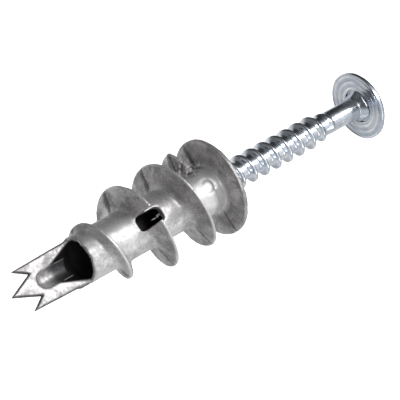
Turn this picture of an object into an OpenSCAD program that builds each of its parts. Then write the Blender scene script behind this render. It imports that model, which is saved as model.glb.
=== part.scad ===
// Self-drilling plasterboard anchor, die-cast zinc, with its washer-head screw part-driven from behind.
// Frame: the axis is X and the wall surface is the YZ plane. The rear face of the anchor's flange lies in it
// at x = 0, the blade points into the wall (-X), the screw head stands out of it (+X), and +Z is up.
// The blade's flat face and the side window look up.

/* [Barrel and flange] */
// Outside diameter of the barrel
barrel_d = 6.7; // [6.2:0.1:7.2]
// Length from the flange's rear face to the barrel's open front rim
barrel_l = 24; // [23:0.5:26]
// Diameter of the rear flange
flange_d = 14.1; // [12:0.1:16]
// Thickness of the rear flange
flange_t = 0.7; // [0.5:0.1:1.2]
// Length of the side window along the barrel
window_l = 4.3; // [3:0.1:5.5]
// Width of the side window
window_w = 2.3; // [1.6:0.1:2.8]
// Distance from the flange's rear face to the window's centre
window_x = 13.3; // [11:0.1:15]

/* [Blade] */
// Length from the flange's rear face to the centre point
anchor_l = 35.1; // [33:0.1:38]
// Thickness of the blade plate
blade_t = 0.8; // [0.6:0.1:1.2]
// Width of the blade at its outer points
blade_tip_w = 5.95; // [5:0.05:6.5]
// How far the outer points stand back from the centre point
side_point_back = 1.85; // [1:0.05:3]
// How far the two notches stand back from the centre point
notch_back = 4; // [3:0.1:5]
// Distance between the two notches
notch_gap = 3.3; // [3:0.1:4]
// Radius of the half-round pilot channel
channel_r = 1.2; // [0.9:0.05:1.4]

/* [Flights] */
// Diameter over the full-height flights
flight_d = 13.8; // [12:0.1:15]
// Advance of the flight in one turn
flight_lead = 6.8; // [6:0.1:7.5]
// Thickness of a flight at its rim
flight_rim_t = 0.45; // [0.3:0.05:0.8]
// Thickness of a flight at its root
flight_root_t = 1.7; // [1.2:0.1:2.2]

/* [Screw] */
// Diameter over the screw's thread
thread_d = 4.5; // [4:0.1:4.5]
// Pitch of the screw's thread
thread_pitch = 2.25; // [2:0.05:2.5]
// Diameter of the thread's core
core_d = 2.95; // [2.6:0.05:3]
// Diameter of the plain shank under the head
shank_d = 3.15; // [3:0.05:3.4]
// Length of the screw from its point to the head's seat
screw_l = 40; // [38:0.5:42]
// Height of the head's seat above the flange's rear face
seat_x = 28.5; // [27:0.5:30]
// Diameter of the head
head_d = 9.6; // [9:0.1:10]
// Height of the head above its seat
head_h = 1.7; // [1.4:0.1:2.2]

/* [Washer] */
// Outside diameter of the washer
washer_d = 10.1; // [9.8:0.1:11]
// Thickness of the washer
washer_t = 0.5; // [0.4:0.1:0.8]

/* [Hidden] */
$fn = 64;

// Clearance of everything that turns or slides: thread in bore, neck in washer
run_gap = 0.07;
bore_r = thread_d / 2 + run_gap;
barrel_r = barrel_d / 2;

// Mouth: the bore flares towards the barrel's front rim, then closes down into the pilot channel
mouth_r = barrel_r - 0.5;
mouth_x = -barrel_l + 0.4;
flare_x = mouth_x + 3.6;
funnel_end_x = -28.2;
channel_end_x = -anchor_l + 4.2;
// Half-round rib under the channel, on the blade's lower side
rib_wall = 0.7;
rib_r = channel_r + rib_wall;
blade_root_w = 6.4;

// Cross recess that drives the anchor, in the flange's rear face
drive_w = 1.3;
drive_span = 5.9;
drive_depth = 3;

// Flight angles are counted round X from the +Y parting line, in degrees. The flight starts low behind
// the front rim, is full height after flight_full, and its last half-turn closes up to the flange.
flight_steps = 60;
flight_start = -150;
flight_full = 410;
flight_last_half = 900;
flight_stop = 1080;
flight_end = 1106;
flight_x0 = -21.9;
// How far the flight lags behind an even helix on the window side, and the step at the parting lines
flight_tilt = 0.6;
flight_kink = 0.15;
flight_overlap = 0.35;
// Advance in the last half-turn, and of the broken-off gate after it
last_advance = 1.5;
gate_advance = 1.4;

// Screw
thread_steps = 36;
point_l = 4.6;
tip_x = seat_x - screw_l;
thread_end_x = 22.1;
thread_phase = 8;
neck_r = 2.4;
neck_l = 1.1;
thread_crest_t = 0.3;
thread_root_t = 1.35;
thread_overlap = 0.15;
rim_h = 0.3;
dome_steps = 10;
recess_w = 1;
recess_span = 4.4;
recess_depth = 1.5;

// Puts a shape drawn along +Z onto the X axis, so that z becomes x
module on_axis() {
    rotate([0, 90, 0]) children();
}

// Helical band as one closed solid: section i is a ring of four points, root, rim, rim, root
// secs holds [angle, x centre, root radius, rim radius, root thickness, rim thickness]
function band_points(secs) = [
    for (s = secs)
        for (p = [[-s[4], s[2]], [-s[5], s[3]], [s[5], s[3]], [s[4], s[2]]])
            [s[1] + p[0] / 2, p[1] * cos(s[0]), p[1] * sin(s[0])]
];

function band_faces(n) = concat(
    [[0, 2, 1], [0, 3, 2]],
    [for (i = [0:n - 2]) for (k = [0:3]) for (f = band_quad(4 * i + k, 4 * i + (k + 1) % 4)) f],
    [[4 * n - 4, 4 * n - 3, 4 * n - 2], [4 * n - 4, 4 * n - 2, 4 * n - 1]]
);

function band_quad(a, b) = [[a, b, a + 4], [b, b + 4, a + 4]];

module band(secs) {
    polyhedron(points = band_points(secs), faces = band_faces(len(secs)), convexity = 10);
}

// Centre of the flight along X
function flight_advance(a) =
    flight_lead * min(a, flight_last_half) / 360
    + last_advance * between(a, flight_last_half, flight_stop)
    + gate_advance * between(a, flight_stop, flight_end);

function flight_x(a) =
    flight_x0 + flight_advance(a) - flight_tilt * sin(a) - flight_kink * abs(sin(a));

// How far a is on the way from low to high, from 0 to 1
function between(a, low, high) = min(1, max(0, (a - low) / (high - low)));

function flight_height(a) =
    max(0.05, (flight_d / 2 - barrel_r)
        * pow(between(a, flight_start - 30, flight_full), 1.15)
        * (1 - between(a, flight_stop, flight_end)));

module flights() {
    span = flight_end - flight_start;
    n = ceil(span / 360 * flight_steps);
    band([for (i = [0:n])
        let (a = flight_start + span * i / n, h = flight_height(a), root = min(1, 0.25 + h / 3))
        [a, flight_x(a), barrel_r - flight_overlap, barrel_r + h,
         flight_rim_t + (flight_root_t - flight_rim_t) * root, flight_rim_t]]);
}

// Bore, flared mouth, funnel and pilot channel as one turned hollow
module hollow() {
    on_axis() rotate_extrude() polygon([
        [0, 1], [bore_r, 1], [bore_r, flare_x], [mouth_r, mouth_x],
        [channel_r, funnel_end_x], [channel_r, channel_end_x + channel_r], [0, channel_end_x + channel_r]
    ]);
    translate([channel_end_x + channel_r, 0, 0]) sphere(channel_r);
}

module window() {
    translate([-window_x, 0, 0]) {
        for (s = [-1, 1])
            translate([s * (window_l - window_w) / 2, 0, 0]) cylinder(d = window_w, h = barrel_d);
        translate([-(window_l - window_w) / 2, -window_w / 2, 0])
            cube([window_l - window_w, window_w, barrel_d]);
    }
}

module cross_recess(width, span, depth) {
    for (a = [0, 90])
        rotate([a, 0, 0]) translate([-depth, -span / 2, -width / 2]) cube([depth + 1, span, width]);
}

// The blade's lower side: the barrel tapers into a half-round rib that carries the pilot channel
module nose() {
    difference() {
        union() {
            on_axis() rotate_extrude() polygon([
                [0, -barrel_l + 1], [barrel_r, -barrel_l + 1], [barrel_r, -barrel_l],
                [rib_r, funnel_end_x], [rib_r, channel_end_x + channel_r], [0, channel_end_x + channel_r]
            ]);
            translate([channel_end_x + channel_r, 0, 0]) sphere(rib_r);
        }
        translate([-anchor_l - 5, -barrel_d, 0]) cube([barrel_l, 2 * barrel_d, barrel_d]);
    }
}

module blade() {
    half = [
        [-barrel_l + 1, blade_root_w / 2],
        [-anchor_l + side_point_back, blade_tip_w / 2],
        [-anchor_l + notch_back, notch_gap / 2]
    ];
    translate([0, 0, -blade_t]) linear_extrude(blade_t) polygon(concat(
        half,
        [[-anchor_l, 0]],
        [for (i = [2:-1:0]) [half[i][0], -half[i][1]]]
    ));
}

module anchor() {
    color("silver") difference() {
        union() {
            translate([-barrel_l, 0, 0]) on_axis() cylinder(r = barrel_r, h = barrel_l);
            translate([-flange_t, 0, 0]) on_axis() cylinder(d = flange_d, h = flange_t);
            nose();
            blade();
            flights();
        }
        hollow();
        window();
        cross_recess(drive_w, drive_span, drive_depth);
    }
}

module washer() {
    color("gainsboro") translate([seat_x - washer_t, 0, 0]) on_axis() difference() {
        cylinder(d = washer_d, h = washer_t);
        translate([0, 0, -1]) cylinder(r = neck_r + run_gap, h = washer_t + 2);
    }
}

// Thread: starts at the point, full height after the point, fades into the shank
function thread_fade(x) =
    min(1, (x - tip_x) / point_l, max(0.02, (thread_end_x - x) / (1.5 * thread_pitch)));

function core_at(x) = min(core_d / 2, 0.15 + (x - tip_x) * (core_d / 2 - 0.15) / point_l);

module thread() {
    first = 1;
    turns = (thread_end_x - tip_x - first) / thread_pitch;
    n = floor(turns * thread_steps);
    band([for (i = [0:n])
        let (
            x = tip_x + first + i * thread_pitch / thread_steps,
            a = thread_phase + 360 * (x - 7.6) / thread_pitch,
            core = core_at(x),
            depth = (thread_d - core_d) / 2 * thread_fade(x)
        )
        [a, x, core - thread_overlap, core + max(depth, 0.04),
         thread_crest_t + (thread_root_t - thread_crest_t) * max(0.2, thread_fade(x)), thread_crest_t]]);
}

// Point of the head's low dome at distance r from the axis
function dome_point(r) = [r, seat_x + head_h - (head_h - rim_h) * pow(r / (head_d / 2), 2)];

module screw() {
    color("lightsteelblue") difference() {
        union() {
            on_axis() rotate_extrude() polygon([
                [0, tip_x], [0.15, tip_x + 0.1], [core_d / 2, tip_x + point_l],
                [core_d / 2, thread_end_x - thread_pitch], [shank_d / 2, thread_end_x - thread_pitch / 2],
                [shank_d / 2, seat_x - washer_t - neck_l], [neck_r, seat_x - washer_t], [neck_r, seat_x],
                [head_d / 2, seat_x],
                for (i = [0:dome_steps]) dome_point(head_d / 2 * (1 - i / dome_steps))
            ]);
            thread();
        }
        translate([seat_x + head_h, 0, 0]) cross_recess(recess_w, recess_span, recess_depth);
    }
}

anchor();
washer();
screw();
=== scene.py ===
"""Looks of a self-drilling plasterboard anchor and its washer-head screw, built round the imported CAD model.

Shapes are worked out in millimetres and turned into metres as each mesh is finished. The axis is X: the
blade points to -X, the screw's head to +X, and the blade's flat face looks up, to +Z.
"""

from __future__ import annotations

import logging
import math
from dataclasses import dataclass
from enum import Enum
from typing import Any, Iterable, Union

import bmesh
import bpy
from mathutils import Matrix, Vector


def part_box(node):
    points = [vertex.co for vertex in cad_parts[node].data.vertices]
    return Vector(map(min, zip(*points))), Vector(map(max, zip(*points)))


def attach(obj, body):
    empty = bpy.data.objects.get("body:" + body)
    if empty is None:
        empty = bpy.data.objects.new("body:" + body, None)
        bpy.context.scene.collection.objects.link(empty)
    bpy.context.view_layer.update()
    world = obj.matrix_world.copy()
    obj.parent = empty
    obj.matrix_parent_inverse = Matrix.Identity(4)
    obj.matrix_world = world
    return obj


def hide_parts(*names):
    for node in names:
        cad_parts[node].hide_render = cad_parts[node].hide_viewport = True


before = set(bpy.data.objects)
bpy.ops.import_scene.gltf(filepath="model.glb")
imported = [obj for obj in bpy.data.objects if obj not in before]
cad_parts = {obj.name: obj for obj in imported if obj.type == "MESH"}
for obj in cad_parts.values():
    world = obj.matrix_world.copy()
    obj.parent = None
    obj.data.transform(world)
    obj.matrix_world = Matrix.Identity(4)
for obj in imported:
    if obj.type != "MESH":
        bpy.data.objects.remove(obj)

MM = 0.001
LOG = logging.getLogger("wall_anchor")

Number = Union[float, "Expr"]
Profile = list[tuple[float, float]]


class Body(Enum):
    """The CAD bodies that the pieces ride on."""

    ANCHOR = "anchor"
    WASHER = "washer"
    SCREW = "screw"


class Slot(Enum):
    """The record's material slots."""

    CASTING = "zinc_casting"
    PLATE = "zinc_plate"


# ---------------------------------------------------------------- node trees


class Expr:
    """A number that a node tree works out, for use in ordinary arithmetic."""

    def __init__(self, graph: "Graph", socket: bpy.types.NodeSocket) -> None:
        """Wraps one output socket of a tree."""
        self.graph = graph
        self.socket = socket

    def _math(self, operation: str, *values: Number) -> "Expr":
        """One Math node on these values."""
        return self.graph.math(operation, *values)

    def __add__(self, other: Number) -> "Expr":
        """self + other"""
        return self._math("ADD", self, other)

    __radd__ = __add__

    def __sub__(self, other: Number) -> "Expr":
        """self - other"""
        return self._math("SUBTRACT", self, other)

    def __rsub__(self, other: Number) -> "Expr":
        """other - self"""
        return self._math("SUBTRACT", other, self)

    def __mul__(self, other: Number) -> "Expr":
        """self * other"""
        return self._math("MULTIPLY", self, other)

    __rmul__ = __mul__

    def __truediv__(self, other: Number) -> "Expr":
        """self / other"""
        return self._math("DIVIDE", self, other)

    def __rtruediv__(self, other: Number) -> "Expr":
        """other / self"""
        return self._math("DIVIDE", other, self)

    def __pow__(self, other: Number) -> "Expr":
        """self to the power of other"""
        return self._math("POWER", self, other)

    def __neg__(self) -> "Expr":
        """-self"""
        return self._math("MULTIPLY", self, -1.0)

    def __abs__(self) -> "Expr":
        """The size of self without its sign"""
        return self._math("ABSOLUTE", self)

    def sqrt(self) -> "Expr":
        """Square root"""
        return self._math("SQRT", self)

    def atan2(self, other: Number) -> "Expr":
        """Angle of the point (other, self), in radians"""
        return self._math("ARCTAN2", self, other)

    def cos(self) -> "Expr":
        """Cosine of self in radians"""
        return self._math("COSINE", self)

    def sin(self) -> "Expr":
        """Sine of self in radians"""
        return self._math("SINE", self)

    def round(self) -> "Expr":
        """Nearest whole number"""
        return self._math("ROUND", self)

    def least(self, other: Number, blend: float = 0.0) -> "Expr":
        """The lower of two values, rounded over within blend of each other"""
        if blend:
            return self._math("SMOOTH_MIN", self, other, blend)
        return self._math("MINIMUM", self, other)

    def most(self, other: Number, blend: float = 0.0) -> "Expr":
        """The higher of two values, rounded over within blend of each other"""
        if blend:
            return self._math("SMOOTH_MAX", self, other, blend)
        return self._math("MAXIMUM", self, other)

    def between(self, low: float, high: float, smooth: bool = False) -> "Expr":
        """How far self is on the way from low to high, from 0 to 1

        Args:
            low: the value that gives 0.
            high: the value that gives 1.
            smooth: whether the ends are eased.

        Returns:
            The share as an expression.
        """
        kind = "SMOOTHSTEP" if smooth else "LINEAR"
        node = self.graph.node(
            "ShaderNodeMapRange", {"interpolation_type": kind}, {0: self, 1: low, 2: high, 3: 0.0, 4: 1.0}
        )
        return Expr(self.graph, node.outputs[0])

    def hump(self, width: float) -> "Expr":
        """1 where self is zero, falling off smoothly on both sides within about width"""
        return self._math("EXPONENT", -((self / width) ** 2.0))


def near(
    place: tuple[Expr, Expr, Expr], centre: tuple[float, float, float], core: float, reach: float
) -> Expr:
    """How near a point is to a centre.

    Args:
        place: the point's three numbers.
        centre: the centre, in the same unit.
        core: the distance up to which the result is 1.
        reach: the distance from which it is 0.

    Returns:
        The share from 0 to 1, with eased ends.
    """
    x, y, z = ((axis - at) ** 2.0 for axis, at in zip(place, centre))
    return (x + y + z).sqrt().between(reach, core, smooth=True)


class Graph:
    """Adds nodes to one tree and hands their results out as expressions."""

    def __init__(self, tree: bpy.types.NodeTree) -> None:
        """Wraps a tree, which may hold nodes already."""
        self.tree = tree

    def node(
        self, kind: str, settings: dict[str, Any] | None = None, values: dict[Any, Any] | None = None
    ) -> bpy.types.Node:
        """One new node.

        Args:
            kind: the node's type.
            settings: properties set before its sockets, such as a Math node's operation.
            values: what each input socket takes, by name or place: an expression, a socket or a value.

        Returns:
            The node.
        """
        made = self.tree.nodes.new(kind)
        for name, value in (settings or {}).items():
            setattr(made, name, value)
        for key, value in (values or {}).items():
            source = value.socket if isinstance(value, Expr) else value
            if isinstance(source, bpy.types.NodeSocket):
                self.tree.links.new(source, made.inputs[key])
            else:
                made.inputs[key].default_value = source
        return made

    def math(self, operation: str, *values: Number) -> Expr:
        """A Math node's result."""
        node = self.node("ShaderNodeMath", {"operation": operation}, dict(enumerate(values)))
        return Expr(self, node.outputs[0])

    def split(self, vector: bpy.types.NodeSocket) -> tuple[Expr, Expr, Expr]:
        """The three numbers of a vector."""
        node = self.node("ShaderNodeSeparateXYZ", values={0: vector})
        return tuple(Expr(self, out) for out in node.outputs)

    def join(self, x: Number, y: Number, z: Number) -> bpy.types.NodeSocket:
        """A vector from three numbers."""
        return self.node("ShaderNodeCombineXYZ", values={0: x, 1: y, 2: z}).outputs[0]

    def attribute(self, name: str) -> Expr:
        """A number kept on the mesh's points."""
        return Expr(self, self.node("ShaderNodeAttribute", {"attribute_name": name}).outputs["Fac"])

    def noise(
        self, place: bpy.types.NodeSocket, scale: float, detail: float = 2.0, roughness: float = 0.5
    ) -> Expr:
        """Smooth random values round 0.5.

        Args:
            place: the coordinates that it is read at.
            scale: bumps in one unit of the coordinates.
            detail: how many finer layers are added.
            roughness: how strong the finer layers are.

        Returns:
            The value as an expression.
        """
        values = {"Vector": place, "Scale": scale, "Detail": detail, "Roughness": roughness}
        return Expr(self, self.node("ShaderNodeTexNoise", values=values).outputs[0])

    def mix(self, share: Number, first: Any, second: Any) -> bpy.types.NodeSocket:
        """A colour between two colours."""
        node = self.node(
            "ShaderNodeMix", {"data_type": "RGBA"}, {0: share, 6: self._rgba(first), 7: self._rgba(second)}
        )
        return node.outputs[2]

    @staticmethod
    def _rgba(colour: Any) -> Any:
        """A plain colour with its alpha, or the socket as it is."""
        return (*colour, 1.0) if isinstance(colour, tuple) else colour


class ShapeTree(Graph):
    """A Geometry Nodes tree with named inputs, which is run once and leaves a plain mesh."""

    def __init__(self, name: str) -> None:
        """Makes the tree with its output socket."""
        super().__init__(bpy.data.node_groups.new(name, "GeometryNodeTree"))
        self.tree.interface.new_socket("Geometry", in_out="OUTPUT", socket_type="NodeSocketGeometry")
        self._sizes: dict[str, float] = {}
        self._input: bpy.types.Node | None = None

    def sizes(self, values: dict[str, float]) -> dict[str, Expr]:
        """Adds one named number input for each size.

        Args:
            values: the sizes' names and values, in millimetres.

        Returns:
            The same names with the inputs as expressions.
        """
        for name in values:
            self.tree.interface.new_socket(name, in_out="INPUT", socket_type="NodeSocketFloat")
        self._sizes = dict(values)
        self._input = self.node("NodeGroupInput")
        return {name: Expr(self, self._input.outputs[name]) for name in values}

    def position(self) -> tuple[Expr, Expr, Expr]:
        """Where the shape is being worked out."""
        return self.split(self.node("GeometryNodeInputPosition").outputs[0])

    def build(
        self, name: str, shape: bpy.types.NodeSocket, material: bpy.types.Material
    ) -> bpy.types.Object:
        """Ends the tree, runs it on an empty mesh and keeps the result.

        Args:
            name: the piece's name.
            shape: the geometry that the tree has made, in millimetres.
            material: the finish that it gets.

        Returns:
            A plain mesh object at the origin, in metres.
        """
        small = self.node("GeometryNodeTransform", values={"Geometry": shape, "Scale": (MM, MM, MM)})
        real = self.node("GeometryNodeRealizeInstances", values={0: small.outputs[0]})
        smooth = self.node("GeometryNodeSetShadeSmooth", values={"Geometry": real.outputs[0]})
        values = {"Geometry": smooth.outputs[0], "Material": material}
        finished = self.node("GeometryNodeSetMaterial", values=values)
        self.node("NodeGroupOutput", values={0: finished.outputs[0]})

        carrier = bpy.data.objects.new(name + "_carrier", bpy.data.meshes.new(name + "_carrier"))
        bpy.context.scene.collection.objects.link(carrier)
        modifier = carrier.modifiers.new("shape", "NODES")
        modifier.node_group = self.tree
        for item in self.tree.interface.items_tree:
            if item.in_out == "INPUT":
                modifier[item.identifier] = self._sizes[item.name]
        bpy.context.view_layer.update()
        graph = bpy.context.evaluated_depsgraph_get()
        mesh = bpy.data.meshes.new_from_object(carrier.evaluated_get(graph))
        carrier.modifiers.remove(modifier)
        bpy.data.objects.remove(carrier)
        return new_object(name, mesh)


# ------------------------------------------------------------------- meshes


def new_object(name: str, mesh: bpy.types.Mesh) -> bpy.types.Object:
    """A linked object with this mesh, named as the mesh."""
    mesh.name = name
    piece = bpy.data.objects.new(name, mesh)
    bpy.context.scene.collection.objects.link(piece)
    return piece


def arc(centre: tuple[float, float], radius: float, start: float, stop: float, steps: int) -> Profile:
    """Points on an arc in a profile.

    Args:
        centre: the arc's centre, (x, r).
        radius: its radius.
        start: its first angle in degrees, from +x towards +r.
        stop: its last angle.
        steps: how many pieces it is cut into.

    Returns:
        steps + 1 points (x, r).
    """
    angles = (math.radians(start + (stop - start) * i / steps) for i in range(steps + 1))
    return [(centre[0] + radius * math.cos(a), centre[1] + radius * math.sin(a)) for a in angles]


def turned(profile: Profile, around: int, closed: bool) -> bpy.types.Mesh:
    """A turned shape round the X axis.

    Args:
        profile: its points (x, r) in millimetres, along the outline.
        around: how many steps it has round the axis.
        closed: whether the last point joins the first, as on a ring.

    Returns:
        The mesh, in metres; a point with r = 0 becomes one vertex.
    """
    sheet = bmesh.new()
    rings = []
    for x, r in profile:
        if r <= 0:
            rings.append([sheet.verts.new((x * MM, 0, 0))] * around)
            continue
        turns = (2 * math.pi * i / around for i in range(around))
        rings.append([sheet.verts.new((x * MM, r * MM * math.cos(a), r * MM * math.sin(a))) for a in turns])
    pairs = list(zip(rings, rings[1:])) + ([(rings[-1], rings[0])] if closed else [])
    for low, high in pairs:
        for i in range(around):
            corners = (low[i], low[i - 1], high[i - 1], high[i])
            face = sheet.faces.new(tuple(dict.fromkeys(corners)))
            face.smooth = True
    bmesh.ops.recalc_face_normals(sheet, faces=sheet.faces)
    mesh = bpy.data.meshes.new("turned")
    sheet.to_mesh(mesh)
    sheet.free()
    return mesh


def join(name: str, parts: Iterable[bpy.types.Mesh], weld: float, crease: float) -> bpy.types.Mesh:
    """Several meshes as one, welded where they meet.

    Args:
        name: the new mesh's name.
        parts: the meshes.
        weld: how close two vertices are joined, in millimetres.
        crease: the angle in degrees over which an edge stays sharp.

    Returns:
        The mesh with its faces turned outwards.
    """
    whole = bmesh.new()
    for part in parts:
        whole.from_mesh(part)
    bmesh.ops.remove_doubles(whole, verts=whole.verts, dist=weld * MM)
    bmesh.ops.recalc_face_normals(whole, faces=whole.faces)
    for face in whole.faces:
        face.smooth = True
    mesh = bpy.data.meshes.new(name)
    whole.to_mesh(mesh)
    whole.free()
    mesh.set_sharp_from_angle(angle=math.radians(crease))
    return mesh


# ----------------------------------------------------------------- finishes


@dataclass(frozen=True)
class CastZinc:
    """Die-cast zinc as it leaves the die: satin, grainy and mottled, with painted highlights along the
    flights' rims and the barrel, and painted shade in the hollow, on the blade's edges and along the parting
    crease.
    """

    light: tuple[float, float, float] = (0.60, 0.585, 0.585)
    dark: tuple[float, float, float] = (0.30, 0.29, 0.294)
    warm: tuple[float, float, float] = (0.50, 0.455, 0.45)
    painted_highlight: tuple[float, float, float] = (0.80, 0.79, 0.785)
    # dark tone: real residue on the broken gate, and painted shade in the hollow, on the blade's edges and
    # along the parting crease
    residue_and_shade: tuple[float, float, float] = (0.035, 0.036, 0.04)
    roughness: float = 0.42
    metallic: float = 0.78
    gate: tuple[float, float, float] = (-2.9, 3.6, 1.2)
    gate_r: float = 2.7
    seam_z: float = 0.22
    barrel_front: float = -24.4
    sheltered_x: float = -6.0

    def material(self) -> bpy.types.Material:
        """The finish as a material."""
        made = bpy.data.materials.new(Slot.CASTING.value)
        made.use_nodes = True
        g = Graph(made.node_tree)
        shader = made.node_tree.nodes["Principled BSDF"]
        place = g.node("ShaderNodeTexCoord").outputs["Object"]
        x, y, z = g.split(place)
        radius = (y * y + z * z).sqrt()
        cloud = g.noise(place, 420.0, 3.0, 0.6)
        grain = g.noise(place, 3200.0, 3.0, 0.65)
        tint = g.noise(place, 190.0, 1.0)
        stain = g.noise(place, 1100.0, 4.0, 0.7)
        mottle = (cloud * 0.5 + grain * 0.28 + stain * 0.22).between(0.40, 0.60, smooth=True)
        centre = tuple(at * MM for at in self.gate)
        broken = near((x, y, z), centre, 0.3 * self.gate_r * MM, self.gate_r * MM)

        metal = g.mix(mottle, self.dark, self.light)
        metal = g.mix(tint.between(0.5, 0.75, smooth=True) * 0.55, metal, self.warm)
        # painted highlight along the barrel, strongest next to the flange
        metal = g.mix(self._barrel_highlight(x, radius, mottle) * (1.0 - broken), metal, self.painted_highlight)
        # painted shade along the parting crease
        metal = g.mix(self._seam(x, z, radius, cloud) * 0.6, metal, self.residue_and_shade)
        metal = g.mix(broken * stain.between(0.55, 0.45) * 0.6, metal, self.residue_and_shade)
        # painted highlight along the flights' rims
        metal = g.mix(g.attribute("rim") * 0.7, metal, self.painted_highlight)
        # painted shade: the hollow and a fine line along the blade's edges are darkened in the colour
        metal = g.mix(g.attribute("painted_shade") * (0.8 + 0.2 * cloud), metal, self.residue_and_shade)

        rough = self.roughness + 0.16 * (1.0 - mottle) + broken * 0.1
        height = grain * 0.55 + stain * 0.7 + broken * stain * 3.0
        bump = g.node("ShaderNodeBump", values={"Strength": 0.35, "Distance": 0.05 * MM, "Height": height})
        feeds = {"Base Color": metal, "Roughness": rough.socket, "Normal": bump.outputs[0]}
        for name, value in feeds.items():
            made.node_tree.links.new(value, shader.inputs[name])
        shader.inputs["Metallic"].default_value = self.metallic
        return made

    def _barrel_highlight(self, x: Expr, radius: Expr, mottle: Expr) -> Expr:
        """How much painted highlight the barrel gets, most of all in the shelter of the flange, where the
        flange shades it.
        """
        low, high = 3.5 * MM, 4.4 * MM
        front = self.barrel_front * MM
        barrel = radius.between(high, low, smooth=True) * x.between(front, front + 1.0 * MM)
        sheltered = x.between(self.sheltered_x * MM, (self.sheltered_x + 2.5) * MM)
        return barrel * (0.3 + 0.4 * mottle + 0.5 * sheltered)

    def _seam(self, x: Expr, z: Expr, radius: Expr, cloud: Expr) -> Expr:
        """A thin wandering line of painted shade along the crease where the die's halves met on flights and
        flange.
        """
        off = abs(z - self.seam_z * MM + (cloud - 0.5) * 0.5 * MM)
        line = off.between(0.17 * MM, 0.05 * MM)
        return line * radius.between(3.5 * MM, 4.0 * MM) * x.between(-23.0 * MM, -21.0 * MM)


@dataclass(frozen=True)
class BrightZinc:
    """Bright blue-white zinc plating on steel: glossy, with the faint waviness of the metal under it."""

    light: tuple[float, float, float] = (0.84, 0.87, 0.91)
    dull: tuple[float, float, float] = (0.66, 0.71, 0.79)
    roughness: float = 0.15

    def material(self) -> bpy.types.Material:
        """The finish as a material."""
        made = bpy.data.materials.new(Slot.PLATE.value)
        made.use_nodes = True
        g = Graph(made.node_tree)
        shader = made.node_tree.nodes["Principled BSDF"]
        place = g.node("ShaderNodeTexCoord").outputs["Object"]
        haze = g.noise(place, 700.0, 3.0, 0.6)
        fine = g.noise(place, 2600.0, 2.0, 0.6)
        wave = g.noise(place, 900.0, 2.0, 0.5)
        colour = g.mix(haze.between(0.35, 0.65, smooth=True), self.dull, self.light)
        rough = self.roughness + 0.14 * fine.between(0.4, 0.75, smooth=True)
        values = {"Strength": 0.25, "Distance": 0.05 * MM, "Height": wave + fine * 0.2}
        bump = g.node("ShaderNodeBump", values=values)
        feeds = {"Base Color": colour, "Roughness": rough.socket, "Normal": bump.outputs[0]}
        for name, value in feeds.items():
            made.node_tree.links.new(value, shader.inputs[name])
        shader.inputs["Metallic"].default_value = 1.0
        return made


# ------------------------------------------------------------ sub-assemblies


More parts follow.
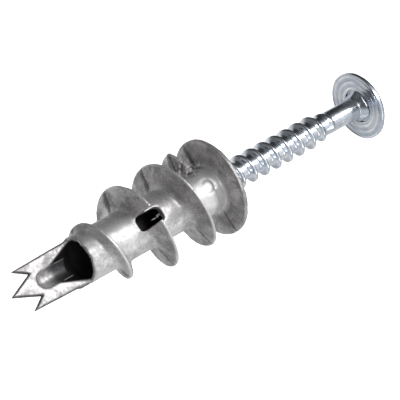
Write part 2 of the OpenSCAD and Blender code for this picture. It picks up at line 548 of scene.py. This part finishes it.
@dataclass
class Casting:
    """The one-piece anchor: flange, barrel with flights and side window, and the spade blade."""

    finish: CastZinc
    voxel: float = 0.159
    barrel_r: float = 3.35
    barrel_l: float = 24.0
    flange_t: float = 0.7
    window_x: float = -13.3
    window_l: float = 4.3
    window_w: float = 2.3
    window_corner: float = 0.8
    blade_t: float = 0.8
    blade_root: float = 3.2
    blade_tip: float = 2.975
    side_back: float = 1.85
    notch_back: float = 4.0
    notch: float = 1.65
    channel_r: float = 1.2
    rib_wall: float = 0.7
    bore_r: float = 2.32
    mouth_r: float = 2.85
    funnel_end: float = -28.2
    flight_r: float = 6.9
    lead: float = 6.8
    flight_x0: float = -21.9
    flight_start: float = -180.0
    flight_full: float = 410.0
    flight_last_half: float = 900.0
    flight_stop: float = 1080.0
    flight_end: float = 1106.0
    flight_tilt: float = 0.6
    flight_kink: float = 0.15
    last_advance: float = 1.5
    gate_advance: float = 1.4
    climb: float = 1.15
    rim_t: float = 0.42
    root_t: float = 1.75
    parting_step: float = 0.24
    drive_w: float = 1.3
    drive_span: float = 5.9
    drive_depth: float = 3.0
    trough_t: float = 0.32
    trough_top: float = -0.3
    trough_start: float = -25.5
    trough_end: float = -29.0
    channel_back: float = 4.2
    mouth_back: float = 0.4
    flare_l: float = 3.6
    chips: float = 0.45
    pin_x: float = -2.9
    pin_r: float = 1.0

    def __post_init__(self) -> None:
        """Takes the overall sizes from the CAD node."""
        low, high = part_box(Body.ANCHOR.value)
        self.length = -low.x / MM
        self.flange_r = high.y / MM
        self.channel_stop = self.channel_r + self.channel_back - self.length
        self.mouth_x = self.mouth_back - self.barrel_l

    def build(self) -> bpy.types.Object:
        """Makes the casting as one skin round a solid worked out point by point.

        Returns:
            The finished piece, riding on the anchor.
        """
        tree = ShapeTree("casting shape")
        size = tree.sizes({
            "Barrel radius": self.barrel_r, "Flange radius": self.flange_r, "Flight radius": self.flight_r,
            "Flight lead": self.lead, "Blade thickness": self.blade_t, "Bore radius": self.bore_r,
        })
        x, y, z = tree.position()
        r = (y * y + z * z).sqrt()
        crease = tree.math("EXPONENT", abs(z) * -0.6)
        rolling = tree.noise(tree.join(x, y, z), 0.55, 2.0, 0.5) - 0.5
        ragged = tree.noise(tree.join(x, y, z), 1.7, 2.0, 0.6) - 0.5
        broken = tree.noise(tree.join(x, y, z), 2.8, 3.0, 0.85) - 0.5

        flights, rim = self._flights(size, x, y, z, r, crease)
        barrel = (r - size["Barrel radius"]).most(-self.barrel_l - self.chips * ragged - x, 0.2).most(x)
        flash = self._flash(z, r)
        solid = (barrel - flash).least(self._nose(size, x, z, r), 0.35)
        outline = self._blade_outline(x, y)
        half = size["Blade thickness"] * 0.5
        solid = solid.least(outline.most(abs(z + half) - half, 0.1), 0.2)
        solid = solid.least(flights, 0.55)
        solid = solid.least(self._flange(size, x, z, r, crease), 0.4)
        gate_r = self.finish.gate_r
        gate = near((x, y, z), self.finish.gate, 0.4 * gate_r, gate_r)
        solid = solid - rolling * 0.07 - gate * broken * 2.2
        solid = solid + self._pin_mark(x, y, z)
        hollow = self._hollow(size, x, r)
        solid = solid.most(-hollow, 0.08)
        solid = solid.least(self._trough(x, z, r), 0.08)
        solid = solid.most(-self._window(x, y, z), 0.15)
        solid = solid.most(-self._recess(x, y, z), 0.1)

        # the flights' rims carry a painted highlight, and the hollow and the blade's edges carry painted
        # shade
        marks = {"rim": rim, "painted_shade": self._painted_shade(x, z, r, hollow, outline)}
        piece = tree.build("anchor_casting", self._skin(tree, solid, marks), self.finish.material())
        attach(piece, Body.ANCHOR.value)
        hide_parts("anchor")
        return piece

    def _skin(self, tree: ShapeTree, solid: Expr, marks: dict[str, Expr]) -> bpy.types.NodeSocket:
        """The surface where solid is zero.

        Args:
            tree: the tree it is added to.
            solid: about how far a point is outside the metal, in millimetres.
            marks: numbers to keep on the surface's points, by name.

        Returns:
            The surface.
        """
        margin = 3 * self.voxel
        low = (-self.length - margin, -self.flange_r - margin, -self.flange_r - margin)
        high = (margin, self.flange_r + margin, self.flange_r + margin)
        counts = [math.ceil((b - a) / self.voxel) + 1 for a, b in zip(low, high)]
        volume = tree.node("GeometryNodeVolumeCube", values={
            "Density": -solid, "Background": -1.0, "Min": low, "Max": high,
            "Resolution X": counts[0], "Resolution Y": counts[1], "Resolution Z": counts[2],
        })
        values = {"Volume": volume.outputs[0], "Threshold": 0.0}
        skin = tree.node("GeometryNodeVolumeToMesh", values=values)
        place = tree.node("GeometryNodeInputPosition")
        eased = tree.node("GeometryNodeBlurAttribute", {"data_type": "FLOAT_VECTOR"})
        value = next(s for s in eased.inputs if s.name == "Value" and s.enabled)
        tree.tree.links.new(place.outputs[0], value)
        eased.inputs["Iterations"].default_value = 1
        result = next(s for s in eased.outputs if s.enabled)
        values = {"Geometry": skin.outputs[0], "Position": result}
        moved = tree.node("GeometryNodeSetPosition", values=values)
        kept = moved
        for name, value in marks.items():
            settings = {"data_type": "FLOAT", "domain": "POINT"}
            values = {"Geometry": kept.outputs[0], "Name": name}
            kept = tree.node("GeometryNodeStoreNamedAttribute", settings, values)
            number = next(s for s in kept.inputs if s.name == "Value" and s.enabled)
            tree.tree.links.new(value.socket, number)
        return kept.outputs[0]

    def _flights(
        self, size: dict[str, Expr], x: Expr, y: Expr, z: Expr, r: Expr, crease: Expr
    ) -> tuple[Expr, Expr]:
        """The helical flights.

        Args:
            size: the tree's inputs.
            x: place along the axis.
            y: place across the axis in the parting plane.
            z: height over the parting plane.
            r: distance from the axis.
            crease: 1 in the parting plane, falling off on both sides.

        Returns:
            The distance to the nearest flight, and how near a point is to a flight's rim, from 0 to 1, where
            the material paints a highlight.
        """
        angle = z.atan2(y) * (180 / math.pi)
        lean = z / r.most(0.1)
        solid, rim = None, None
        for turn in range(4):
            a = angle + 360.0 * turn
            closing = a.between(self.flight_last_half, self.flight_stop)
            ending = a.between(self.flight_stop, self.flight_end)
            advance = size["Flight lead"] * a.least(self.flight_last_half) / 360.0
            advance = advance + self.last_advance * closing + self.gate_advance * ending
            centre = advance + self.flight_x0 - self.flight_tilt * lean - self.flight_kink * abs(lean)
            height = size["Flight radius"] - size["Barrel radius"]
            height = height * a.between(self.flight_start, self.flight_full) ** self.climb
            height = height * (1 - ending)
            share = (1 - (r - size["Barrel radius"]) / height.most(0.3)).between(0, 1)
            body = (0.25 + height / 3).least(1.0) * (self.root_t - self.rim_t) / 2
            half = self.rim_t / 2 + body * share ** 1.5 + 0.25 * crease * share.between(0, 0.3)
            half = half + self.parting_step * crease * z.between(0.1, -0.1) * share.between(0, 0.15)
            top = r - size["Barrel radius"] - height
            flight = (0.93 * (abs(x - centre) - half)).most(top, 0.12)
            # how near the rim is, for the painted highlight there
            edge = top.between(-0.35, -0.05, smooth=True) * height.between(0.5, 1.5)
            bright = edge * abs(x - centre).between(0.9, 0.5)
            solid = flight if solid is None else solid.least(flight)
            rim = bright if rim is None else rim.most(bright)
        return solid, rim

    def _flange(self, size: dict[str, Expr], x: Expr, z: Expr, r: Expr, crease: Expr) -> Expr:
        """The rear flange, with a low crease where the die's halves met."""
        inward = (1 - r / size["Flange radius"]).between(0.0, 0.1)
        raised = 0.2 + self.parting_step * z.between(0.1, -0.1)
        front = -self.flange_t - crease * raised * inward - x
        return (r - size["Flange radius"]).most(front, 0.15).most(x, 0.1)

    def _flash(self, z: Expr, r: Expr) -> Expr:
        """The fine ridge that the die's parting line leaves along the barrel."""
        return 0.09 * z.hump(0.2) * (r - self.barrel_r + 1.0).between(0, 0.6)

    def _nose(self, size: dict[str, Expr], x: Expr, z: Expr, r: Expr) -> Expr:
        """The barrel's lower half, tapering into the rib that carries the pilot channel."""
        rib = self.channel_r + self.rib_wall
        taper = x.between(self.funnel_end, -self.barrel_l)
        cone = r - (rib + (self.barrel_r - rib) * taper)
        past = (self.channel_stop - x).most(0.0)
        beyond = past.between(0, 0.05)
        far_inside = 9.0
        tip = (past * past + r * r).sqrt() - rib
        round_end = (0.9 * cone).most(tip * beyond - far_inside * (1 - beyond))
        return round_end.most(z, 0.1).most(x + self.barrel_l - 1.0)

    def _blade_outline(self, x: Expr, y: Expr) -> Expr:
        """How far a point is outside the blade's outline, with its centre point and two outer points."""
        side = abs(y)
        spare = 0.12
        rise = self.notch_back / self.notch
        fall = (self.notch_back - self.side_back) / (self.blade_tip - self.notch)
        inner = (-self.length - spare + rise * side - x) / math.hypot(1, rise)
        outer_start = self.notch_back - self.length - spare
        outer = (outer_start - fall * (side - self.notch) - x) / math.hypot(1, fall)
        slope = (self.blade_root - self.blade_tip) / (self.length - self.side_back - self.barrel_l)
        edge = side - (self.blade_root + slope * (x + self.barrel_l))
        return inner.least(outer).most(edge).most(x + self.barrel_l - 1.0)

    def _trough(self, x: Expr, z: Expr, r: Expr) -> Expr:
        """The thin half-pipe that carries the pilot channel on into the open mouth."""
        wall = abs(r - self.channel_r - self.trough_t / 2) - self.trough_t / 2
        return wall.most(z - self.trough_top).most(x - self.trough_start).most(self.trough_end - x)

    def _painted_shade(self, x: Expr, z: Expr, r: Expr, hollow: Expr, outline: Expr) -> Expr:
        """Where shade is painted in dark: inside the hollow, and in a fine line along the blade's edges."""
        deep = x.between(-28.7, -27.5) * hollow.between(0.2, 0.05)
        floor = (r - self.channel_r).between(0.3, 0.1) * (-z).between(0.0, 0.3) * x.between(-24.2, -25.2)
        streak = 1 - 0.06 * floor
        # painted shade along the blade's cut edges
        line = outline.between(-0.3, -0.1, smooth=True) * x.between(-24.0, -24.6) * 0.8
        return (deep * streak).most(line)

    def _hollow(self, size: dict[str, Expr], x: Expr, r: Expr) -> Expr:
        """Bore, flared mouth, funnel and pilot channel."""
        flare = x.between(self.mouth_x + self.flare_l, self.mouth_x)
        close = x.between(self.mouth_x, self.funnel_end)
        wide = size["Bore radius"] + (self.mouth_r - self.bore_r) * flare
        wide = wide - (self.mouth_r - self.channel_r) * close
        past = (self.channel_stop - x).most(0.0)
        return (past * past + r * r).sqrt() - wide

    def _window(self, x: Expr, y: Expr, z: Expr) -> Expr:
        """The side window, cut straight in from above."""
        along = abs(x - self.window_x) - (self.window_l / 2 - self.window_corner)
        across = abs(y) - (self.window_w / 2 - self.window_corner)
        far = (along.most(0.0) ** 2.0 + across.most(0.0) ** 2.0).sqrt()
        inside = along.most(across).least(0.0)
        return (far + inside - self.window_corner).most(0.5 - z)

    def _recess(self, x: Expr, y: Expr, z: Expr) -> Expr:
        """The cross recess that drives the anchor."""
        arm = (abs(y) - self.drive_span / 2).most(abs(z) - self.drive_w / 2)
        other = (abs(z) - self.drive_span / 2).most(abs(y) - self.drive_w / 2)
        return arm.least(other).most(-self.drive_depth - x)

    def _pin_mark(self, x: Expr, y: Expr, z: Expr) -> Expr:
        """The faint ring that an ejector pin leaves on top of the barrel."""
        ring = ((x - self.pin_x) ** 2.0 + y * y).sqrt() - self.pin_r
        return 0.07 * ring.hump(0.14) * z.between(0.5, 1.5)


@dataclass
class HeadWasher:
    """The washer under the screw's head, with rings pressed into its underside."""

    finish: BrightZinc
    hole_r: float = 2.47
    around: int = 128
    ripple_r: float = 2.95
    ripple_gap: float = 0.88
    ripple_deep: float = 0.075
    edge: float = 0.08

    def build(self) -> bpy.types.Object:
        """Makes the washer, riding on its own body."""
        low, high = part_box(Body.WASHER.value)
        front, back, outer = low.x / MM, high.x / MM, high.y / MM
        inset = outer - self.edge
        profile = [(back, self.hole_r)]
        profile += arc((back - self.edge, inset), self.edge, 0, 90, 4)
        profile += arc((front + self.edge, inset), self.edge, 90, 180, 4)
        profile += self._ripples(front, inset - 0.02)
        profile += [(front + 0.1, self.hole_r)]
        ring = turned(profile, self.around, True)
        piece = new_object("head_washer", join("head_washer", [ring], 0.002, 50))
        piece.data.materials.append(self.finish.material())
        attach(piece, Body.WASHER.value)
        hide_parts("washer")
        return piece

    def _ripples(self, front: float, outer: float) -> Profile:
        """The underside from its rim inwards, with rings pressed into it."""
        points = []
        steps = 60
        inner = self.hole_r + 0.1
        for i in range(steps + 1):
            r = outer + (inner - outer) * i / steps
            wave = 0.5 + 0.5 * math.cos(2 * math.pi * (r - self.ripple_r) / self.ripple_gap)
            fade = min(1.0, (outer - r) / 0.2, (r - inner) / 0.15)
            points.append((front + self.ripple_deep * wave ** 2 * max(0.0, fade), r))
        return points


@dataclass
class Screw:
    """The screw: threaded shank by rule, turned neck and low domed head, and the cross recess."""

    finish: BrightZinc
    washer_front: float = 28.0
    around: int = 96
    row: float = 0.1
    pitch: float = 2.25
    core_r: float = 1.475
    crest_r: float = 2.25
    shank_r: float = 1.575
    point_l: float = 4.6
    thread_end: float = 22.1
    phase: float = 8.0
    phase_x: float = 7.6
    lobe_half: float = 0.68
    lobe_flank: float = 0.56
    neck_x: float = 27.15
    neck_r: float = 2.4
    neck_half: float = 2.1
    neck_rise: float = 0.85
    neck_corner: float = 3.2
    rim_h: float = 0.3
    rim_slant: float = 0.13
    rim_chamfer: float = 0.05
    seat_x: float = 28.5
    recess_depth: float = 1.45
    recess_span: float = 4.3
    recess_w: float = 1.0

    def __post_init__(self) -> None:
        """Takes the overall sizes from the CAD node."""
        low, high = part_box(Body.SCREW.value)
        self.tip_x = low.x / MM
        self.top_x = high.x / MM
        self.head_r = high.y / MM

    def build(self) -> bpy.types.Object:
        """Makes the screw as one closed skin, riding on its own body."""
        shank = self._threaded_shank()
        head = turned(self._head_profile(), self.around, False)
        self._square_neck(head)
        mesh = join("screw", [shank, head], 0.004, 40)
        piece = new_object("screw_body", mesh)
        self._cut_recess(piece)
        piece.data.materials.clear()
        piece.data.materials.append(self.finish.material())
        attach(piece, Body.SCREW.value)
        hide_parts("screw")
        return piece

    def _threaded_shank(self) -> bpy.types.Mesh:
        """Point, thread and plain shank as one skin whose radius follows the thread's rule."""
        tree = ShapeTree("thread shape")
        size = tree.sizes({
            "Pitch": self.pitch, "Core radius": self.core_r, "Crest radius": self.crest_r,
            "Shank radius": self.shank_r,
        })
        length = self.neck_x - self.tip_x
        rows = round(length / self.row) + 1
        values = {"Size X": length, "Size Y": 1.0, "Vertices X": rows, "Vertices Y": self.around + 1}
        sheet = tree.node("GeometryNodeMeshGrid", values=values)
        u, v, _ = tree.position()
        x = u + (length / 2 + self.tip_x)
        turn = v + 0.5
        start = (x - self.tip_x).between(0, self.point_l)
        core = 0.02 + (size["Core radius"] - 0.02) * start ** 0.8
        plain = x.between(self.thread_end - self.pitch, self.thread_end - 0.1, smooth=True)
        core = core + (size["Shank radius"] - size["Core radius"]) * plain
        fade = start.least(x.between(self.thread_end, self.thread_end - 1.5 * self.pitch))
        wind = (x - self.phase_x) / size["Pitch"] - turn + self.phase / 360
        off = abs(wind - wind.round()) * size["Pitch"]
        lobe = off.between(self.lobe_half, self.lobe_half - self.lobe_flank, smooth=True)
        radius = core + (size["Crest radius"] - size["Core radius"]) * lobe * fade
        angle = turn * (2 * math.pi)
        place = tree.join(x, radius * angle.cos(), radius * angle.sin())
        values = {"Geometry": sheet.outputs[0], "Position": place}
        wound = tree.node("GeometryNodeSetPosition", values=values)
        material = bpy.data.materials.new("blank")
        made = tree.build("thread", wound.outputs[0], material)
        mesh = made.data
        bpy.data.objects.remove(made)
        self._close_point(mesh)
        return mesh

    @staticmethod
    def _close_point(mesh: bpy.types.Mesh) -> None:
        """Draws the first ring together into one sharp point and closes the seam."""
        sheet = bmesh.new()
        sheet.from_mesh(mesh)
        start = min(v.co.x for v in sheet.verts)
        for vert in sheet.verts:
            if vert.co.x < start + 1e-6:
                vert.co.y = vert.co.z = 0.0
        bmesh.ops.remove_doubles(sheet, verts=sheet.verts, dist=0.003 * MM)
        sheet.to_mesh(mesh)
        sheet.free()

    def _head_profile(self) -> Profile:
        """The outline from the neck to the middle of the head's top."""
        flare = 12
        neck_l = self.washer_front - self.neck_x
        profile = [(self.neck_x + neck_l * i / flare, self.shank_r) for i in range(flare + 1)]
        profile += [(self.seat_x, r) for r in (self.shank_r, self.neck_r, self.head_r - self.rim_chamfer)]
        profile += [(self.seat_x + self.rim_chamfer, self.head_r)]
        steps = 24
        dome_r = self.head_r - self.rim_slant
        for i in range(steps + 1):
            r = dome_r * (1 - i / steps)
            sunk = (self.top_x - self.seat_x - self.rim_h) * (r / self.head_r) ** 2
            profile.append((self.top_x - sunk, r))
        return profile

    def _square_neck(self, mesh: bpy.types.Mesh) -> None:
        """Draws the neck out from the round shank to a square with rounded corners at the washer."""
        corner = self.neck_corner
        slack = 1e-3
        for vert in mesh.vertices:
            x, y, z = vert.co / MM
            r = math.hypot(y, z)
            if x < self.neck_x + slack or x > self.seat_x + slack or r > self.shank_r + slack:
                continue
            square = self.neck_half / ((abs(y / r) ** corner + abs(z / r) ** corner) ** (1 / corner))
            share = min(1.0, (x - self.neck_x) / self.neck_rise)
            grown = (self.shank_r + (square - self.shank_r) * share ** 1.1) / r
            vert.co.y *= grown
            vert.co.z *= grown

    def _cut_recess(self, piece: bpy.types.Object) -> None:
        """Cuts a tapered cross recess into the head's top."""
        for turn in (0, 90):
            cutter = new_object("cutter", self._wing(turn))
            cut = piece.modifiers.new("recess", "BOOLEAN")
            cut.operation = "DIFFERENCE"
            cut.solver = "EXACT"
            cut.object = cutter
            bpy.context.view_layer.update()
            graph = bpy.context.evaluated_depsgraph_get()
            mesh = bpy.data.meshes.new_from_object(piece.evaluated_get(graph))
            piece.modifiers.remove(cut)
            bpy.data.objects.remove(cutter)
            piece.data = mesh
        piece.data.name = "screw_body"
        piece.data.set_sharp_from_angle(angle=math.radians(40))

    def _wing(self, turn: float) -> bpy.types.Mesh:
        """One pair of wings of the cross recess, narrower and shorter at its foot."""
        spare = 0.6
        foot, top = self.top_x - self.recess_depth, self.top_x + spare
        grow = 1 + spare / self.recess_depth
        spans = (0.42 * self.recess_span, self.recess_span * (0.42 + 0.58 * grow))
        widths = (0.7 * self.recess_w, self.recess_w * (0.7 + 0.3 * grow))
        wedge = bmesh.new()
        corners = []
        for x, span, width in zip((foot, top), spans, widths):
            for sy, sz in ((-1, -1), (1, -1), (1, 1), (-1, 1)):
                corners.append(wedge.verts.new((x * MM, sy * span / 2 * MM, sz * width / 2 * MM)))
        for ring in ((0, 1, 2, 3), (4, 5, 6, 7), (0, 1, 5, 4), (1, 2, 6, 5), (2, 3, 7, 6), (3, 0, 4, 7)):
            wedge.faces.new([corners[i] for i in ring])
        bmesh.ops.rotate(wedge, verts=wedge.verts, matrix=Matrix.Rotation(math.radians(turn), 3, "X"))
        bmesh.ops.recalc_face_normals(wedge, faces=wedge.faces)
        mesh = bpy.data.meshes.new("wing")
        wedge.to_mesh(mesh)
        wedge.free()
        return mesh


# ------------------------------------------------------------------- studio


@dataclass(frozen=True)
class Softbox:
    """A rectangular area light that looks at the anchor, with its long side along the axis."""

    name: str
    towards: tuple[float, float, float]
    distance: float
    size: tuple[float, float]
    power: float
    colour: tuple[float, float, float] = (1.0, 1.0, 1.0)

    def place(self, target: Vector) -> bpy.types.Object:
        """Adds the light, aimed at target."""
        data = bpy.data.lights.new(self.name, "AREA")
        data.shape = "RECTANGLE"
        data.size, data.size_y = self.size
        data.energy = self.power
        data.color = self.colour
        lamp = bpy.data.objects.new(self.name, data)
        way = Vector(self.towards).normalized()
        across = way.cross(Vector((1, 0, 0))).normalized()
        turn = Matrix((across.cross(way), across, way)).transposed().to_4x4()
        lamp.matrix_world = Matrix.Translation(target + way * self.distance) @ turn
        bpy.context.scene.collection.objects.link(lamp)
        return lamp


@dataclass
class Studio:
    """Camera, floor, lights and surroundings."""

    azimuth: float = 187.81
    elevation: float = 57.35
    roll: float = 51.66
    distance: float = 0.32068
    sideways: float = -0.004032
    upwards: float = -0.003145
    target_x: float = 0.003
    lens: float = 209.75
    floor_z: float = -0.14

    def build(self) -> None:
        """Adds everything that isn't the object."""
        self._camera()
        self._floor()
        self._surroundings()
        target = Vector((self.target_x, 0, 0))
        for softbox in (
            Softbox("key", (0.36, -0.03, 0.93), 0.32, (0.36, 0.12), 0.75),
            Softbox("fill", (0.30, -0.92, 0.30), 0.40, (0.20, 0.16), 0.20, (0.96, 0.98, 1.0)),
        ):
            softbox.place(target)
        bpy.context.scene.view_settings.view_transform = "Standard"

    def _camera(self) -> None:
        """The camera, looking down on the blade's face with the screw going away to the right."""
        az, el, roll = (math.radians(v) for v in (self.azimuth, self.elevation, self.roll))
        back = Vector((math.cos(el) * math.cos(az), math.cos(el) * math.sin(az), math.sin(el)))
        level = Vector((0, 0, 1)).cross(back).normalized()
        upright = back.cross(level)
        right = math.cos(roll) * level + math.sin(roll) * upright
        up = math.cos(roll) * upright - math.sin(roll) * level
        place = back * self.distance + right * self.sideways + up * self.upwards
        place += Vector((self.target_x, 0, 0))
        data = bpy.data.cameras.new("camera")
        data.sensor_width = 36.0
        data.lens = self.lens
        data.clip_start = 0.01
        camera = bpy.data.objects.new("camera", data)
        turn = Matrix((right, up, back)).transposed().to_4x4()
        camera.matrix_world = Matrix.Translation(place) @ turn
        bpy.context.scene.collection.objects.link(camera)
        bpy.context.scene.camera = camera

    def _floor(self) -> None:
        """A plain white floor well below the part, kept out of the metal's reflections."""
        sheet = bmesh.new()
        bmesh.ops.create_grid(sheet, x_segments=1, y_segments=1, size=3.0)
        mesh = bpy.data.meshes.new("floor")
        sheet.to_mesh(mesh)
        sheet.free()
        mesh.transform(Matrix.Translation((0, 0, self.floor_z)))
        floor = new_object("floor", mesh)
        made = bpy.data.materials.new("floor_white")
        made.use_nodes = True
        shader = made.node_tree.nodes["Principled BSDF"]
        shader.inputs["Base Color"].default_value = (0.9, 0.9, 0.9, 1.0)
        shader.inputs["Roughness"].default_value = 0.9
        shader.inputs["Emission Color"].default_value = (1.0, 1.0, 1.0, 1.0)
        shader.inputs["Emission Strength"].default_value = 0.75
        floor.data.materials.append(made)
        floor.visible_glossy = False

    def _surroundings(self) -> None:
        """Soft light from above, the -Y side and the ground, with a dark band on the +Y side."""
        world = bpy.data.worlds.new("studio")
        bpy.context.scene.world = world
        world.use_nodes = True
        g = Graph(world.node_tree)
        x, y, z = g.split(g.node("ShaderNodeTexCoord").outputs["Generated"])
        above = z.between(0.25, 0.95, smooth=True) * x.between(-0.6, 0.2, smooth=True)
        above = above * (1 - 0.8 * y.between(0.1, 0.6, smooth=True))
        side = (-y).between(0.0, 0.8, smooth=True) * (1 - abs(z)).between(0.0, 0.5)
        ground = (-z).between(0.25, 0.75, smooth=True) * (1 + y.between(0.0, 0.5))
        behind = (-x).between(0.2, 0.9, smooth=True) * (1 - abs(z)).between(0.0, 0.6)
        strength = 0.04 + above + 0.5 * side + 0.42 * ground + 0.12 * behind
        shader = world.node_tree.nodes["Background"]
        shader.inputs["Color"].default_value = (0.97, 0.985, 1.0, 1.0)
        world.node_tree.links.new(strength.socket, shader.inputs["Strength"])


def triangles(piece: bpy.types.Object) -> int:
    """How many triangles a piece's mesh has."""
    return sum(len(face.vertices) - 2 for face in piece.data.polygons)


def main() -> None:
    """Builds the pieces in order, then the studio round them."""
    logging.basicConfig(level=logging.INFO, format="%(name)s: %(message)s")
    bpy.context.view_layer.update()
    plating = BrightZinc()
    for part in (Casting(CastZinc()), HeadWasher(plating), Screw(plating)):
        piece = part.build()
        LOG.info("%s: %d triangles", piece.name, triangles(piece))
    Studio().build()
    LOG.info("studio is set")


if __name__ == "__main__":
    main()
